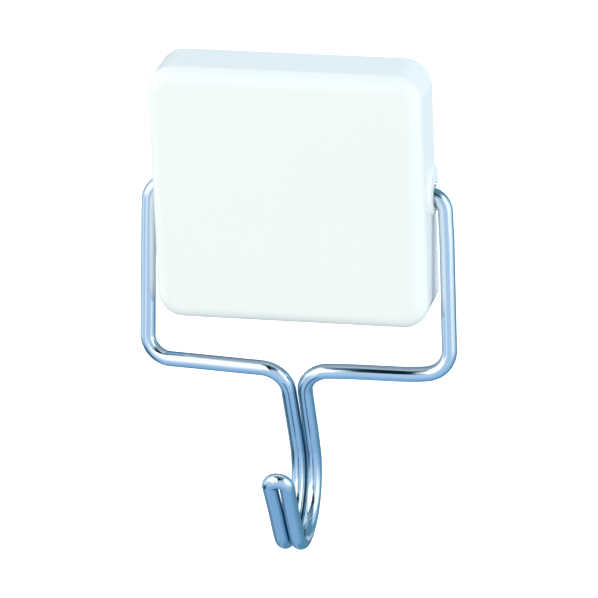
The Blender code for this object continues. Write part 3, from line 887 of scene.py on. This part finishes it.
@dataclass
class WireHook:
    """The chromed wire: two pins, a bail with two bars, twin stems, the hook and its hairpin tip.

    Lengths are in metres and angles in degrees. Offsets are from the pins' axis.
    """

    diameter: float = 0.0028
    pin_end: float = 0.0209
    arm_offset: float = 0.0273
    arm_spread: float = 0.0008
    arm_length: float = 0.0329
    top_bend: float = 0.0033
    lower_bend: float = 0.0044
    stem_bend: float = 0.0046
    bar_forward: float = 0.0029
    bar_drop: float = 0.0002
    stem_gap: float = 0.00032
    hook_gap: float = 0.00006
    stem_length: float = 0.0182
    stem_lean: float = 26.0
    hook_radius: float = 0.0108
    hook_turn: float = 105.0
    lip_radius: float = 0.0053
    lip_turn: float = 66.0
    lip_length: float = 0.0137
    lip_together: float = 0.0062
    tip_gap: float = 0.0004
    rest_swing: float = 8.8
    sides: int = 40
    bend_steps: int = 22
    arc_step: float = 3.0
    run_pitch: float = 0.0015

    def bend(self, before: Vector, corner: Vector, after: Vector, radius: float) -> list[Vector]:
        """Returns the points of a round bend.

        Args:
            before: a point on the run that comes in.
            corner: where the two runs would meet.
            after: a point on the run that goes out.
            radius: the bend's radius, in metres.

        Returns:
            The points in order.
        """
        inward, outward = (before - corner).normalized(), (after - corner).normalized()
        half = inward.angle(outward) / 2
        centre = corner + (inward + outward).normalized() * (radius / math.sin(half))
        spoke = corner + inward * (radius / math.tan(half)) - centre
        axis = inward.cross(outward).normalized()
        turn = math.pi - 2 * half
        steps = self.bend_steps
        return [centre + Matrix.Rotation(-turn * i / steps, 3, axis) @ spoke for i in range(steps + 1)]

    def half_line(self) -> list[Vector]:
        """Returns the right half of the centre line about the pivot, from the pin's end to the tip."""
        lean = math.radians(self.stem_lean)
        heading = Vector((0.0, math.sin(lean), -math.cos(lean)))
        pin, top = Vector((self.pin_end, 0.0, 0.0)), Vector((self.arm_offset, 0.0, 0.0))
        lower = Vector((self.arm_offset + self.arm_spread, 0.0, -self.arm_length))
        gaps = (self.stem_gap, self.hook_gap, self.tip_gap)
        stem_x, hook_x, tip_x = ((self.diameter + gap) / 2 for gap in gaps)
        inner = Vector((stem_x, -self.bar_forward, -self.arm_length - self.bar_drop))
        stem_end = inner + heading * self.stem_length
        stem_end.x = hook_x
        points = [pin]
        points += self.bend(pin, top, lower, self.top_bend)
        points += self.bend(top, lower, inner, self.lower_bend)
        points += [*self.bend(lower, inner, stem_end, self.stem_bend), stem_end]
        for radius, degrees in ((self.hook_radius, self.hook_turn), (self.lip_radius, self.lip_turn)):
            turn = math.radians(degrees)
            centre = points[-1] + Matrix.Rotation(-math.pi / 2, 3, "X") @ heading * radius
            spoke = points[-1] - centre
            steps = round(degrees / self.arc_step)
            turns = [-turn * i / steps for i in range(1, steps + 1)]
            points += [centre + Matrix.Rotation(angle, 3, "X") @ spoke for angle in turns]
            heading = Matrix.Rotation(-turn, 3, "X") @ heading
        tip = points[-1] + heading * self.lip_length
        points.append(points[-1] + heading * self.lip_together)
        for i in range(self.bend_steps + 1):
            angle = math.pi / 2 * i / self.bend_steps
            point = tip + heading * (tip_x * math.sin(angle))
            point.x = tip_x * math.cos(angle)
            points.append(point)
        return points

    def as_bent(self, point: Vector) -> Vector:
        """Returns where a point of the centre line lies on the wire as it was bent.

        The numbers are in millimetres and follow the wire's outline in the photograph: how far it lies off
        a straight and symmetric one, and over which stretch each deviation comes in.

        Args:
            point: a point of the straight and symmetric centre line about the pivot, in metres.

        Returns:
            The point, a few tenths of a millimetre off.
        """
        across, down = point.x * 1000.0, -point.z * 1000.0
        # The bars: the left one rises a little outwards, the right one sags most near its outer bend.
        low = ease(down / (self.arm_length * 1000.0))
        drop = 0.045 - 0.11 * ease((-across - 6.0) / 18.0)
        drop += 0.31 * ease((across - 8.5) / 13.5) - 0.20 * ease((across - 21.0) / 4.0)
        # The stems and the right arm stand a little to the right, and the left arm leans that way.
        stems = ease((down - 36.0) / 12.0) * ease((4.0 - abs(across)) / 2.0)
        shift = 0.15 * stems * ease((point.y * 1000.0 + 10.0) / 8.0)
        arms = ease((abs(across) - 22.0) / 4.0) * ease(down / 6.0)
        shift += arms * (0.05 if across > 0 else 0.16 * ease((down - 4.0) / 28.0) - 0.09)
        # The right arm's root is a little higher and further in.
        root = ease((across - 23.5) / 2.5) * ease((8.5 - down) / 4.0)
        return point + Vector((shift - 0.12 * root, 0.0, 0.13 * root - drop * low)) / 1000.0

    def line(self) -> list[Vector]:
        """Returns the whole centre line at rest in the row frame, with no run longer than the pitch."""
        coarse = self.half_line()
        design = [coarse[0]]
        for before, after in zip(coarse, coarse[1:]):
            count = max(1, math.ceil((after - before).length / self.run_pitch))
            design += [before.lerp(after, i / count) for i in range(1, count + 1)]
        right = [self.as_bent(point) for point in design]
        left = [self.as_bent(Vector((-point.x, point.y, point.z))) for point in design]
        swing = Matrix.Translation(PIVOT) @ Matrix.Rotation(-math.radians(self.rest_swing), 4, "X")
        return [swing @ point for point in left[:-1] + right[::-1]]

    def rings(self) -> list[list[Vector]]:
        """Returns the wire's rings, each square to the centre line and none twisted against the last."""
        points = self.line()
        angles = [2 * math.pi * side / self.sides for side in range(self.sides)]
        normal = Vector((0.0, 1.0, 0.0))
        before = None
        loops = []
        for i, point in enumerate(points):
            ahead, behind = points[min(i + 1, len(points) - 1)], points[max(i - 1, 0)]
            tangent = ((point - behind).normalized() + (ahead - point).normalized()).normalized()
            if before is not None:
                normal = before.rotation_difference(tangent) @ normal
            normal = (normal - tangent * normal.dot(tangent)).normalized()
            other = tangent.cross(normal)
            before = tangent
            spokes = [math.cos(angle) * normal + math.sin(angle) * other for angle in angles]
            loops.append([point + self.diameter / 2 * spoke for spoke in spokes])
        return loops

    def build(self, finish: BrightChrome) -> None:
        """Makes the wire, dresses it and lets it stand for its solid."""
        wire = skin(self.rings(), "chromed_hook")
        dress(wire, finish.material())
        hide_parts("wire_hook")
        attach(wire, Body.HOOK.value)
        report(wire)


@dataclass
class Inside:
    """What sits behind the cap: the rear frame, the steel plate, the magnets, the sheet and the screws."""

    screws: int = 4
    plate_finish: ZincPlating = ZincPlating(
        "zinc_plated_plate", colour=(0.50, 0.52, 0.55), pale=(0.66, 0.68, 0.71), flake=0.0045,
        roughness=0.26, along=(0.3, 1.0, 4.0))
    screw_finish: ZincPlating = ZincPlating(
        "zinc_plated_screw", colour=(0.56, 0.57, 0.58), pale=(0.70, 0.71, 0.72), flake=0.0006,
        roughness=0.22, along=(1.0, 6.0, 1.0))

    def build(self) -> None:
        """Dresses the solids that keep their shape."""
        finishes = {"rear_frame": MouldedMatt().material(), "steel_plate": self.plate_finish.material(),
                    "anti_slip_sheet": GripRubber().material()}
        ferrite, bright = SinteredFerrite().material(), self.screw_finish.material()
        finishes |= {"magnet_left": ferrite, "magnet_right": ferrite}
        finishes |= {f"frame_screw_{number}": bright for number in range(1, self.screws + 1)}
        for name, finish in finishes.items():
            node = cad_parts[name]
            dress(node, finish)
            report(node)


def keep_sizes() -> None:
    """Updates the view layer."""
    bpy.context.view_layer.update()


def main() -> None:
    """Builds the studio and every piece in order."""
    logging.basicConfig(level=logging.INFO, format="%(name)s: %(message)s")
    Studio().build()
    FrontCap().build(MouldedGloss())
    Inside().build()
    WireHook().build(BrightChrome())
    keep_sizes()


if __name__ == "__main__":
    main()
